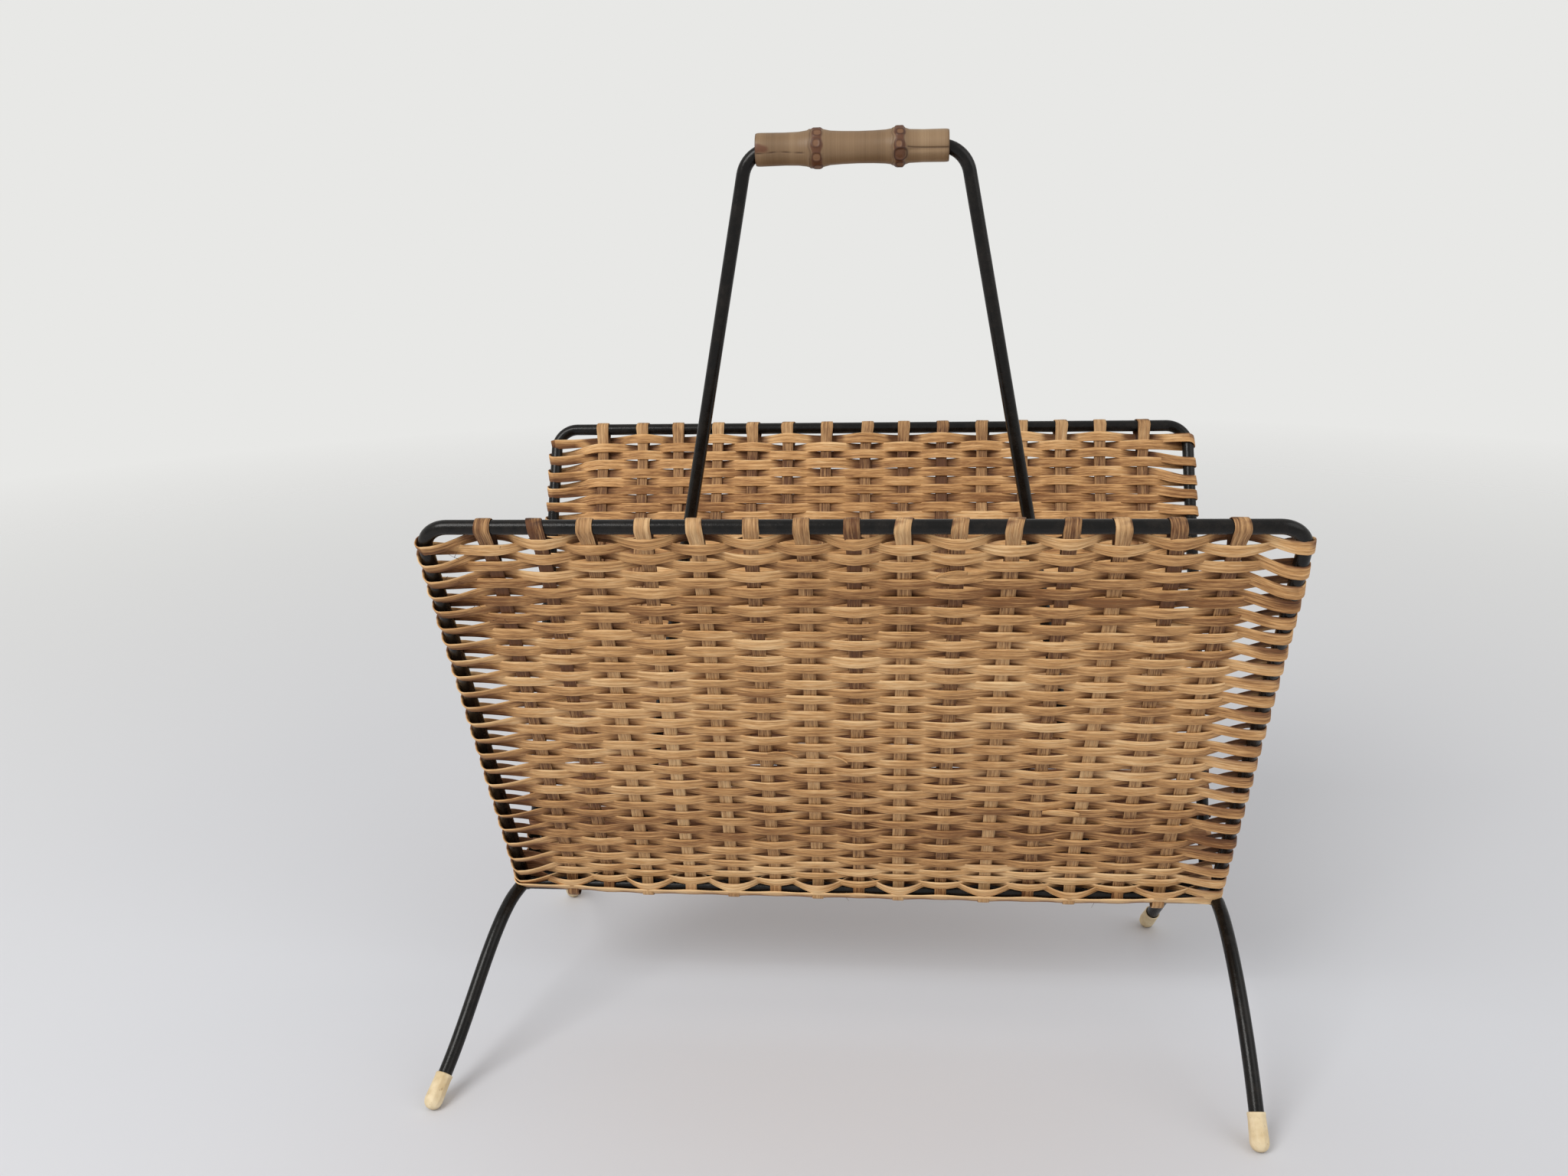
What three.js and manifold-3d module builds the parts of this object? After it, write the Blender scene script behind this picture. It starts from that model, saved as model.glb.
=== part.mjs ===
// A floor-standing magazine basket: two woven reed panels in bent rod frames, leaning apart in a V.
// Two leg bows carry them, and a bail between them has a bamboo grip that spins on its rod.
// Millimetres, +Z up, front panel towards -Y. The frame is built about its own middle plane, x = 0.
import * as THREE from 'three';
import { mergeVertices } from 'three/addons/utils/BufferGeometryUtils.js';
import Module from 'manifold-3d';

const wasm = await Module();
wasm.setup();

// Driving dimensions: rod axis to rod axis, and heights above the floor
const topRailWidth = 400;
const topRailHeight = 336;
const topRailSpread = 262;
const bottomRailWidth = 408;
const bottomRailHeight = 84.5;
const bailHeight = 502;
const bailTopWidth = 111;
const bailBottomWidth = 272;
const bailShift = -1.8;

// Rods and their bends, measured on the rod's axis
const frameRod = 7;
const legRod = 7.8;
const panelCornerRadius = 13;
const legCornerRadius = 5.5;
const bailLeftRadius = 15;
const bailRightRadius = 16;
const bailEndDrop = 3;

// Clearance between pieces that touch
const seatGap = 0.3;

// Where each foot stands: how far outside its corner of the bottom rail, how far out from the middle,
// and how many degrees the leg's end leans from upright
const feet = {
  front_left: { side: -1, facing: -1, splay: 30, reach: 107.5, lean: 53 },
  front_right: { side: 1, facing: -1, splay: 3.8, reach: 116.4, lean: 39 },
  back_left: { side: -1, facing: 1, splay: 7, reach: 124.5, lean: 39 },
  back_right: { side: 1, facing: 1, splay: -15.3, reach: 102, lean: 39 },
};
const legTopLean = 84;
const legTopHandle = 33;
const legFootHandle = 41;

// Foot cap: a moulded ferrule with a round end, worn flat where it meets the floor
const capDiameter = 10.4;
const capLength = 19.5;
const capFloor = 1.2;
const capWear = 0.4;

// Reeds: the doubled stakes looped over both rails, and the mat woven through them
const reedThickness = 1.1;
const stakeWidth = 6.7;
const stakeCount = 15;
const stakeMargin = 28.5;
const matThickness = 7;
const matTopGap = 2;
const landingShare = 0.5;

// Slots in the mat beside the side rods, where the weaver turns back after every row
const weaverRows = 47;
const firstRowDrop = 7.3;
const slotHeight = 5;
const slotTip = 1.6;
const slotLength = 12;
const slotMargin = 0.6;

// Bamboo grip: hollow between its nodes, carried on the rod by the wall at each node
const gripLength = 98;
const gripOffset = -3.5;
const gripDiameter = 15.7;
const gripWaist = 0.3;
const gripNodeRise = 1.8;
const gripNodeWidth = 8;
const gripHollow = 13;
const gripWallLength = 3;
const gripNodeShares = [0.32, 0.745];

// Facets
const rodSides = 14;
const bendSteps = 6;
const legSteps = 9;
const loopSteps = 9;
const capSides = 18;
const domeSteps = 5;
const gripSides = 24;
const gripSteps = 40;
const fullTurn = 2 * Math.PI;

// Worked out from the sizes above
const railOffset = (frameRod + legRod) / 2 + seatGap;
const topRailOffset = topRailSpread / 2;
const looseFrameRod = frameRod + 2 * seatGap;
const looseLegRod = legRod + 2 * seatGap;
const stakeSpan = Math.min(topRailWidth, bottomRailWidth) - 2 * stakeMargin;
const stakePitch = stakeSpan / (stakeCount - 1);

const blackLacquer = { color: 0x1b1a1a, roughness: 0.42, metalness: 0.1 };
const paleReed = { color: 0xc19a6b, roughness: 0.7, metalness: 0 };
const darkReed = { color: 0xa47a4c, roughness: 0.72, metalness: 0 };
const bamboo = { color: 0x9c7b5c, roughness: 0.5, metalness: 0 };
const ivoryRubber = { color: 0xe1cfa4, roughness: 0.55, metalness: 0 };

// A straight run, given as a curve so that it can be mixed with bends
const straight = (from, to) => ({ curve: new THREE.LineCurve3(from, to), steps: 1 });

// A round bend that turns a rod from one direction to another about a virtual corner
class Bend extends THREE.Curve {
  constructor(corner, directionIn, directionOut, radius) {
    super();
    this.radius = radius;
    this.forward = directionIn.clone().normalize();
    const out = directionOut.clone().normalize();
    this.angle = this.forward.angleTo(out);
    this.side = out.clone().addScaledVector(this.forward, -out.dot(this.forward)).normalize();
    this.start = corner.clone().addScaledVector(this.forward, -radius * Math.tan(this.angle / 2));
  }

  getPoint(t, target = new THREE.Vector3()) {
    const turned = t * this.angle;
    return target
      .copy(this.start)
      .addScaledVector(this.forward, this.radius * Math.sin(turned))
      .addScaledVector(this.side, this.radius * (1 - Math.cos(turned)));
  }

  getTangent(t, target = new THREE.Vector3()) {
    const turned = t * this.angle;
    return target
      .copy(this.forward)
      .multiplyScalar(Math.cos(turned))
      .addScaledVector(this.side, Math.sin(turned));
  }
}

// The axis of a rod made of runs: one station where each step ends, so straight runs stay coarse
class RodAxis extends THREE.Curve {
  constructor(runs) {
    super();
    this.stations = [];
    for (const { curve, steps } of runs) {
      const first = this.stations.length === 0 ? 0 : 1;
      for (let step = first; step <= steps; step += 1) {
        const t = step / steps;
        this.stations.push({ point: curve.getPoint(t), tangent: curve.getTangent(t) });
      }
    }
  }

  stationAt(u) {
    return this.stations[Math.round(u * (this.stations.length - 1))];
  }

  getPoint(u, target = new THREE.Vector3()) {
    return target.copy(this.stationAt(u).point);
  }

  getPointAt(u, target) {
    return this.getPoint(u, target);
  }

  getTangentAt(u, target = new THREE.Vector3()) {
    return target.copy(this.stationAt(u).tangent);
  }
}

// The runs of a rod bent at some of its points
function bentRuns(points, radii) {
  const runs = [];
  let from = points[0];
  for (let i = 1; i < points.length - 1; i += 1) {
    const directionIn = points[i].clone().sub(points[i - 1]);
    const directionOut = points[i + 1].clone().sub(points[i]);
    const bend = new Bend(points[i], directionIn, directionOut, radii[i - 1]);
    runs.push(straight(from, bend.getPoint(0)), { curve: bend, steps: bendSteps });
    from = bend.getPoint(1);
  }
  runs.push(straight(from, points[points.length - 1]));
  return runs;
}

function ringPoints(radius, sides) {
  const points = [];
  for (let i = 0; i < sides; i += 1) {
    const angle = (i / sides) * fullTurn;
    points.push(new THREE.Vector2(radius * Math.cos(angle), radius * Math.sin(angle)));
  }
  return points;
}

// A round rod along its runs
function rodGeometry(runs, diameter) {
  const axis = new RodAxis(runs);
  const section = new THREE.Shape(ringPoints(diameter / 2, rodSides));
  const steps = axis.stations.length - 1;
  return new THREE.ExtrudeGeometry(section, { steps, extrudePath: axis, bevelEnabled: false });
}

// Only positions are kept, with shared vertices merged, so that each solid is closed
function closed(geometry) {
  geometry.deleteAttribute('normal');
  geometry.deleteAttribute('uv');
  return mergeVertices(geometry);
}

function toManifold(geometry) {
  const merged = closed(geometry);
  const vertProperties = new Float32Array(merged.attributes.position.array);
  const triVerts = new Uint32Array(merged.index.array);
  return new wasm.Manifold(new wasm.Mesh({ numProp: 3, vertProperties, triVerts }));
}

function fromManifold(solid) {
  const mesh = solid.getMesh();
  const geometry = new THREE.BufferGeometry();
  geometry.setAttribute('position', new THREE.BufferAttribute(mesh.vertProperties, mesh.numProp));
  geometry.setIndex(new THREE.BufferAttribute(mesh.triVerts, 1));
  return geometry;
}

const rack = new THREE.Group();

function addPiece(name, geometry, look) {
  const piece = new THREE.Mesh(geometry, new THREE.MeshStandardMaterial(look));
  piece.name = name;
  piece.geometry.computeVertexNormals();
  rack.add(piece);
  return piece;
}

// Leg bow: foot, arched leg, bottom rail, arched leg and foot are one bent rod
function footCentre(foot) {
  const across = foot.side * (bottomRailWidth / 2 + foot.splay);
  return new THREE.Vector3(across, foot.facing * foot.reach, capDiameter / 2 - capWear);
}

// A leg's direction where it leans so many degrees from upright; from above it runs straight outwards
function legDirection(foot, lean) {
  const angle = THREE.MathUtils.degToRad(lean);
  const heading = new THREE.Vector3(foot.side * foot.splay, foot.facing * (foot.reach - railOffset), 0);
  heading.setLength(Math.sin(angle));
  heading.z = -Math.cos(angle);
  return heading;
}

// Points along a leg's lower end, at a distance back up the rod from the centre of the foot's dome
function legPoint(foot, distance) {
  return footCentre(foot).addScaledVector(legDirection(foot, foot.lean), -distance);
}

function legCorner(foot) {
  return new THREE.Vector3(foot.side * bottomRailWidth / 2, foot.facing * railOffset, bottomRailHeight);
}

// The bend between the bottom rail and a leg, followed from the rail outwards
function legBend(foot) {
  const outwards = new THREE.Vector3(foot.side, 0, 0);
  return new Bend(legCorner(foot), outwards, legDirection(foot, legTopLean), legCornerRadius);
}

function legArch(foot) {
  const mouth = capLength - capDiameter / 2;
  const topHandle = legCorner(foot).addScaledVector(legDirection(foot, legTopLean), legTopHandle);
  const footHandle = legPoint(foot, mouth + legFootHandle);
  return new THREE.CubicBezierCurve3(legBend(foot).getPoint(1), topHandle, footHandle, legPoint(foot, mouth));
}

// The same curve run the other way, for the leg at the rod's first end
class Reversed extends THREE.Curve {
  constructor(curve) {
    super();
    this.curve = curve;
  }

  getPoint(t, target = new THREE.Vector3()) {
    return this.curve.getPoint(1 - t, target);
  }

  getTangent(t, target = new THREE.Vector3()) {
    return this.curve.getTangent(1 - t, target).negate();
  }
}

function legBowRuns(left, right) {
  const capSocket = capFloor + seatGap;
  const mouth = capLength - capDiameter / 2;
  return [
    straight(legPoint(left, capSocket), legPoint(left, mouth)),
    { curve: new Reversed(legArch(left)), steps: legSteps },
    { curve: new Reversed(legBend(left)), steps: bendSteps },
    straight(legBend(left).getPoint(0), legBend(right).getPoint(0)),
    { curve: legBend(right), steps: bendSteps },
    { curve: legArch(right), steps: legSteps },
    straight(legPoint(right, mouth), legPoint(right, capSocket)),
  ];
}

// Foot cap, turned about its own axis with the dome's centre at the origin and the mouth at the top
function footCap(foot) {
  const radius = capDiameter / 2;
  const bore = looseLegRod / 2;
  const mouth = capLength - radius;
  const profile = [];
  for (let step = 0; step <= domeSteps; step += 1) {
    const angle = (step / domeSteps) * (Math.PI / 2);
    profile.push(new THREE.Vector2(radius * Math.sin(angle), -radius * Math.cos(angle)));
  }
  profile[0].x = 0;
  profile.push(new THREE.Vector2(radius, mouth));
  profile.push(new THREE.Vector2(bore, mouth));
  profile.push(new THREE.Vector2(bore, capFloor));
  profile.push(new THREE.Vector2(0, capFloor));
  const cap = new THREE.LatheGeometry(profile, capSides);
  const up = legDirection(foot, foot.lean).negate();
  const turn = new THREE.Quaternion().setFromUnitVectors(new THREE.Vector3(0, 1, 0), up);
  const centre = footCentre(foot);
  cap.applyQuaternion(turn).translate(centre.x, centre.y, centre.z);

  const block = 4 * capLength;
  const floor = new THREE.BoxGeometry(block, block, block);
  floor.translate(centre.x, centre.y, -block / 2);
  return fromManifold(toManifold(cap).subtract(toManifold(floor)));
}

// Panel plane: from the top rail's axis down to the bottom rail's axis
function panelPlane(facing) {
  const top = new THREE.Vector3(0, facing * topRailOffset, topRailHeight);
  const bottom = new THREE.Vector3(0, facing * railOffset, bottomRailHeight);
  const up = top.clone().sub(bottom);
  const height = up.length();
  up.normalize();
  const across = new THREE.Vector3(1, 0, 0);
  const normal = across.clone().cross(up);
  return { top, bottom, up, across, normal, height };
}

// A shape drawn in the panel's plane, x across and y up from the bottom rail, made as thick as asked
function panelSlab(shape, thickness, plane) {
  const slab = new THREE.ExtrudeGeometry(shape, { depth: thickness, bevelEnabled: false });
  slab.translate(0, 0, -thickness / 2);
  const basis = new THREE.Matrix4().makeBasis(plane.across, plane.up, plane.normal);
  return slab.applyMatrix4(basis.setPosition(plane.bottom));
}

// Panel frame: top rail and both side rods are one bent rod, standing on the leg bow's bends
function sideRodEnd(foot) {
  return legBend(foot).getPoint(landingShare);
}

function topCorner(foot) {
  return new THREE.Vector3(foot.side * topRailWidth / 2, foot.facing * topRailOffset, topRailHeight);
}

function panelFrameRuns(left, right) {
  const points = [sideRodEnd(left), topCorner(left), topCorner(right), sideRodEnd(right)];
  return bentRuns(points, [panelCornerRadius, panelCornerRadius]);
}

function panelFrame(left, right) {
  const frame = toManifold(rodGeometry(panelFrameRuns(left, right), frameRod));
  const bowSpace = toManifold(rodGeometry(legBowRuns(left, right), looseLegRod));
  return fromManifold(frame.subtract(bowSpace));
}

// The slots beside one side rod, each below a row and tapering towards the stakes
function turnSlots(plane, side, firstRow) {
  const rowPitch = (plane.height - firstRowDrop) / (weaverRows - 1);
  const rodFoot = sideRodEnd(feet.front_right).x;
  const sleeve = looseFrameRod / 2 + reedThickness;
  const slots = [];
  for (let row = firstRow; row < weaverRows - 2; row += 2) {
    const middle = plane.height - firstRowDrop - (row + 1 / 2) * rowPitch;
    const rod = THREE.MathUtils.lerp(rodFoot, topRailWidth / 2, middle / plane.height);
    const near = rod - sleeve - slotMargin;
    const far = near - slotLength;
    slots.push(new THREE.Path([
      new THREE.Vector2(side * near, middle - slotHeight / 2),
      new THREE.Vector2(side * far, middle - slotTip / 2),
      new THREE.Vector2(side * far, middle + slotTip / 2),
      new THREE.Vector2(side * near, middle + slotHeight / 2),
    ]));
  }
  return slots;
}

// Woven mat: a slab between the side rods, slotted beside them, with a sleeve of reed round each
function matOutline(plane) {
  const shoulder = topRailWidth / 2 - panelCornerRadius;
  const top = plane.height - frameRod / 2 - matTopGap;
  const corner = plane.height - panelCornerRadius;
  const foot = sideRodEnd(feet.front_right).x;
  const half = topRailWidth / 2;
  const outline = new THREE.Shape([
    new THREE.Vector2(-foot, 0),
    new THREE.Vector2(foot, 0),
    new THREE.Vector2(half, corner),
    new THREE.Vector2(shoulder, top),
    new THREE.Vector2(-shoulder, top),
    new THREE.Vector2(-half, corner),
  ]);
  outline.holes.push(...turnSlots(plane, -1, 2), ...turnSlots(plane, 1, 1));
  return outline;
}

function reedSleeve(foot) {
  const low = sideRodEnd(foot);
  const high = topCorner(foot);
  const top = high.clone().lerp(low, panelCornerRadius / high.distanceTo(low));
  return rodGeometry([straight(low, top)], looseFrameRod + 2 * reedThickness);
}

function wovenMat(left, right) {
  const plane = panelPlane(left.facing);
  const slab = toManifold(panelSlab(matOutline(plane), matThickness, plane));
  const frameSpace = toManifold(rodGeometry(panelFrameRuns(left, right), looseFrameRod));
  const bowSpace = toManifold(rodGeometry(legBowRuns(left, right), looseLegRod));
  const mat = slab
    .add(toManifold(reedSleeve(left)))
    .add(toManifold(reedSleeve(right)))
    .subtract(frameSpace)
    .subtract(bowSpace);
  return fromManifold(mat);
}

// Stake: a doubled reed, one long loop round the top rail and the bottom rail
function loopOutline(Outline, plane, extra) {
  const top = looseFrameRod / 2 + extra;
  const bottom = looseLegRod / 2 + extra;
  const outline = new Outline();
  outline.absarc(0, plane.height, top, 0, Math.PI);
  outline.absarc(0, 0, bottom, Math.PI, fullTurn);
  outline.closePath();
  return outline;
}

function stakeLoop(plane, place) {
  const shape = loopOutline(THREE.Shape, plane, reedThickness);
  shape.holes.push(loopOutline(THREE.Path, plane, 0));
  const options = { depth: stakeWidth, bevelEnabled: false, curveSegments: loopSteps };
  const loop = new THREE.ExtrudeGeometry(shape, options);
  loop.translate(0, 0, place - stakeWidth / 2);
  const thick = plane.normal.clone().negate();
  const basis = new THREE.Matrix4().makeBasis(thick, plane.up, plane.across);
  return closed(loop.applyMatrix4(basis.setPosition(plane.bottom)));
}

// Bail: one rod whose lower ends are held between the two bottom rails
function bailRuns() {
  const half = bailTopWidth / 2;
  const slope = (bailBottomWidth - bailTopWidth) / 2 / (bailHeight - bottomRailHeight);
  const foot = bailBottomWidth / 2 + slope * bailEndDrop;
  const end = bottomRailHeight - bailEndDrop;
  const points = [
    new THREE.Vector3(bailShift - foot, 0, end),
    new THREE.Vector3(bailShift - half, 0, bailHeight),
    new THREE.Vector3(bailShift + half, 0, bailHeight),
    new THREE.Vector3(bailShift + foot, 0, end),
  ];
  return bentRuns(points, [bailLeftRadius, bailRightRadius]);
}

// Grip: its outer radius swells at each node and draws in a little between them
function gripRadius(along) {
  const draw = gripWaist * Math.sin((along / gripLength) * Math.PI) ** 2;
  let radius = gripDiameter / 2 - draw;
  for (const share of gripNodeShares) {
    const away = Math.abs(along - share * gripLength) / gripNodeWidth;
    radius += gripNodeRise * Math.exp(-((2 * away) ** 2));
  }
  return radius;
}

function bambooGrip() {
  const profile = [];
  for (let step = 0; step <= gripSteps; step += 1) {
    const along = (step / gripSteps) * gripLength;
    profile.push(new THREE.Vector2(gripRadius(along), along));
  }
  const hollow = gripHollow / 2;
  const bore = looseFrameRod / 2;
  const inside = [new THREE.Vector2(hollow, 0)];
  for (const share of gripNodeShares) {
    const low = share * gripLength - gripWallLength / 2;
    const high = low + gripWallLength;
    inside.push(new THREE.Vector2(hollow, low), new THREE.Vector2(bore, low));
    inside.push(new THREE.Vector2(bore, high), new THREE.Vector2(hollow, high));
  }
  inside.push(new THREE.Vector2(hollow, gripLength));
  profile.push(...inside.reverse(), profile[0].clone());
  const grip = new THREE.LatheGeometry(profile, gripSides);
  grip.translate(0, -gripLength / 2, 0);
  return closed(grip.rotateZ(-Math.PI / 2));
}

// The pieces
for (const name of ['front', 'back']) {
  const left = feet[`${name}_left`];
  const right = feet[`${name}_right`];
  const plane = panelPlane(left.facing);
  addPiece(`${name}_leg_bow`, closed(rodGeometry(legBowRuns(left, right), legRod)), blackLacquer);
  addPiece(`${name}_panel_frame`, panelFrame(left, right), blackLacquer);
  addPiece(`${name}_woven_mat`, wovenMat(left, right), paleReed);
  for (let i = 0; i < stakeCount; i += 1) {
    const place = (i - (stakeCount - 1) / 2) * stakePitch;
    const number = String(i + 1).padStart(2, '0');
    addPiece(`${name}_stake_${number}`, stakeLoop(plane, place), darkReed);
  }
}
for (const [name, foot] of Object.entries(feet)) {
  addPiece(`${name}_foot_cap`, footCap(foot), ivoryRubber);
}
addPiece('bail', closed(rodGeometry(bailRuns(), frameRod)), blackLacquer);
const grip = addPiece('bamboo_grip', bambooGrip(), bamboo);
grip.position.set(gripOffset, 0, bailHeight);

// The origin is on the floor, in the middle of the outer bounds
const bounds = new THREE.Box3().setFromObject(rack, true);
const middle = bounds.getCenter(new THREE.Vector3());
rack.position.set(-middle.x, -middle.y, 0);

export default rack;
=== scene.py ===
"""Looks of a magazine basket: two woven reed panels in painted rod frames, a bail and a bamboo grip."""

import math

import bpy
import numpy as np
from mathutils import Matrix, Vector


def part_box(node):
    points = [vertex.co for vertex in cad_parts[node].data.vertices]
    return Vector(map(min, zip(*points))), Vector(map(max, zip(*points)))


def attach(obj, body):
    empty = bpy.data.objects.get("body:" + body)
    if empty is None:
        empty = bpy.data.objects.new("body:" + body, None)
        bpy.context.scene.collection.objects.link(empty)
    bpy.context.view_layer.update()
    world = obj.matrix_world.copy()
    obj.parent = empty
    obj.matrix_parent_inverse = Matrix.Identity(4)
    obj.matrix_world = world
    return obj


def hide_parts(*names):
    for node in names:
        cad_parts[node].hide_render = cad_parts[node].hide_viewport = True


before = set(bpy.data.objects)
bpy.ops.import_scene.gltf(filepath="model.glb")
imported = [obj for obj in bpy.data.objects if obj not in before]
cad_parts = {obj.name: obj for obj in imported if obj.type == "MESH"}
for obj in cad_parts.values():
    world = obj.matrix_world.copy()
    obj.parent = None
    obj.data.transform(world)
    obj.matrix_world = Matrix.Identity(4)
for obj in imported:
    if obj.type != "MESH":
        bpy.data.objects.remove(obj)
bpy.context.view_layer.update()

# Shapes are worked out in millimetres
MM = 0.001
rng = np.random.default_rng(7)

# Rods: diameters of the frames and the bail, and of the leg bows; a bend at a frame's corners
RODS = 7.0
BOW_ROD = 7.8
CORNER_RADIUS = 13
# A run this many times as long as its neighbour is straight
STRAIGHT_RUN = 3
# Half sizes of the lumps of weld at the side rods' feet and at the bail's ends
ROD_WELD = (5.0, 4.4, 4.6)
BAIL_WELD = (4.6, 2.0, 3.2)
# The side rods' foot above the bottom rail's axis, and heights where their lines are read off the CAD
ROD_FOOT = 0.5
ROD_CUTS = (120, 310)

# Reeds: a weaver and doubled stakes on each panel, with a little play round the rods
WEAVER_THICKNESS = 0.85
STAKE_WIDTH = 6.7
STAKE_THICKNESS = 0.7
STAKES = 15
ROWS = 47
PLAY = 0.1
TOP_LOOP = RODS / 2 + STAKE_THICKNESS / 2 + PLAY
BOTTOM_LOOP = BOW_ROD / 2 + STAKE_THICKNESS / 2 + PLAY

# Width of the weaver over a stake. Between stakes it is the rows' spacing and an overlap, within limits
OVER_WIDTH = {"front": 6.8, "back": 6.15}
SPREAD_WIDTH = {"front": 6.85, "back": 6.7}
SPREAD_OVERLAP = {"front": 0.4, "back": 0.6}
LEAST_SPREAD = 5.5
# How much thinner it is pressed where neighbouring rows cross, and how far odd rows sink there
PRESSED_SHARE = 0.45
SINK_SHARE = 0.65
# Rows of the back panel below this height are wider over a stake by this much
DEEP_ROWS = 200
DEEP_SPREAD = 1.1

# Painted shade: the basket's inside is painted darker below a height, in full this much lower; so are faces in the
# weave
DEEP_INSIDE = 165
DEEP_REACH = 70
DEEP_SHADE = 0.8
WEAVE_SHADE = 0.75

# Distance of some rows below the top rail's axis; odd rows stand a little higher or lower than halfway
ROW_PLACES = {0: 7.3, 2: 17.7, 20: 120.6, 30: 183.5, 40: 250.5, 44: 272.0, 46: 279.0}
ODD_RISE = {"front": 1.05, "back": -0.35}
# How unevenly the rows lie: crossings, whole rows, the last two, and the few crossings that have sagged
CROSSING_SCATTER = 0.2
ROW_SCATTER = 0.14
LAST_SCATTER = (0.15, 0.12)
SAG_CHANCE = 0.05
SAGS = (0.3, 1.2)

# How far wraps have slid down the side rods, and how the reed tilts in them: degrees and their scatter
LEFT_SLIDE = {0: 3.4, 2: 4.6, 4: 3.3, 6: 2.0, 8: 0.5, 40: 1.6, 42: 3.3, 44: 1.8}
RIGHT_SLIDE = {0: 1.7, 1: 4, 2: 6.5, 3: 5.5, 4: 6.6, 5: 4.5, 6: 4.4, 7: 3, 8: 3.2, 9: 2, 10: 2.0, 12: 1.0}
ODD_LEFT_DROP = 1.4
FIRST_ODD_DROP = 2.5
FIRST_ROWS = 8
ODD_RIGHT_RISE = 4.5
TILT_SCATTER = 2.5
LEFT_WRAP_TILT = (22, 4)
RIGHT_WRAP_TILT = (-13, 3)

# The last row lies outside the bottom rail, the row before it in places: heights at some warps, and a tilt
LAST_ROW = {0: 0.4, 1: 2.5, 2: 0.4, 3: 0, 13: 0, 14: 0.2, 15: 2.6, 16: 2.0}
LAST_ROW_OVER = 1.3
LAST_ROW_UNDER = 0.2
LAST_TILT = 13
# How far the last row's left end stands above the rest and off the leg's bend
LAST_END_RISE = 2.6
LAST_END_REACH = 0.9
BEFORE_LAST = {0: 4.4, 1: 7.8, 2: 7.2, 3: 6.0, 4: 7.0, 12: 7.0, 13: 6.0, 14: 7.2, 15: 7.8, 16: 7.4}
BEFORE_LAST_INSIDE = -3.4

# The weaver's first end, a thin strip round the left rod
FIRST_DROP = -2.5
FIRST_INSET = 0.8
FIRST_CLOSING = 0.14
FIRST_NARROWING = 0.52
FIRST_TONE = -0.5

# How far the stakes' lower loops hang off the bottom rail where the last row passes inside them
LOOSE_LOOP = 0.8
LOOSE_END_LOOP = 2.0
# Reaches from the rails where a stake's strands close up, and where it bends to its loop
CLOSING_BELOW_TOP = 38
CLOSING_ABOVE_BOTTOM = 15
LOOP_APPROACH = 22
# The stakes are browner from a height on, in full this much higher, but pale and wider near their top loops
STAKE_TOP_BROWN = 0.26
BROWN_FROM = 130
BROWN_REACH = 110
PALE_TOP = 14
LOOP_SPREAD = 0.16

# Tone of some rows, from browner to paler
ROW_TONES = {
    0: -0.02, 3: -0.08, 6: -0.16, 10: -0.1, 16: 0.02, 24: 0.03, 31: -0.02, 35: -0.25, 38: -0.2, 41: 0.08, 46: 0.14,
}

# Where each stake stands across a panel, from left to right: on the top rail, just below it, and at the bottom
STAKE_PLACES = {
    "front": (
        (-170, -145.3, -122.3, -95.2, -71.8, -46, -23, 0, 23.4, 48, 72.6, 96.7, 119.2, 143, 170),
        (-168.7, -144.3, -120.5, -95, -70.8, -46.5, -22.5, 0.5, 23.8, 47.5, 72, 96.8, 120, 144.3, 170),
        (-173, -151, -127.5, -102, -76, -51, -26, -2, 21, 45.5, 71, 96, 120, 147.5, 170.8),
    ),
    "back": (
        (-169.7, -143.5, -120.7, -94.5, -72, -49.4, -25.2, 0.5, 24, 48.2, 73.4, 98, 122, 146.2, 172),
        (-169, -143.2, -120, -94.6, -72.4, -49.8, -25.6, -0.5, 23.4, 47.4, 72.6, 97.4, 121.5, 145.5, 172),
        (-171, -147, -123, -98, -74, -50, -26, -1, 23, 47, 72, 97, 121, 147, 171),
    ),
}


def mean(a, b):
    return (a + b) / 2


def unit(vector):
    return vector / np.linalg.norm(vector)


def blend(a, b, share):
    """The share of the way from a to b."""
    return a * (1 - share) + b * share


def columns(*values):
    """Values or lists of them side by side, as points."""
    return np.stack(np.broadcast_arrays(*values), axis=-1)


def circle(sides):
    return np.arange(sides) / sides * 2 * math.pi


def link(name, data):
    thing = bpy.data.objects.new(name, data)
    bpy.context.scene.collection.objects.link(thing)
    return thing


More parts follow.
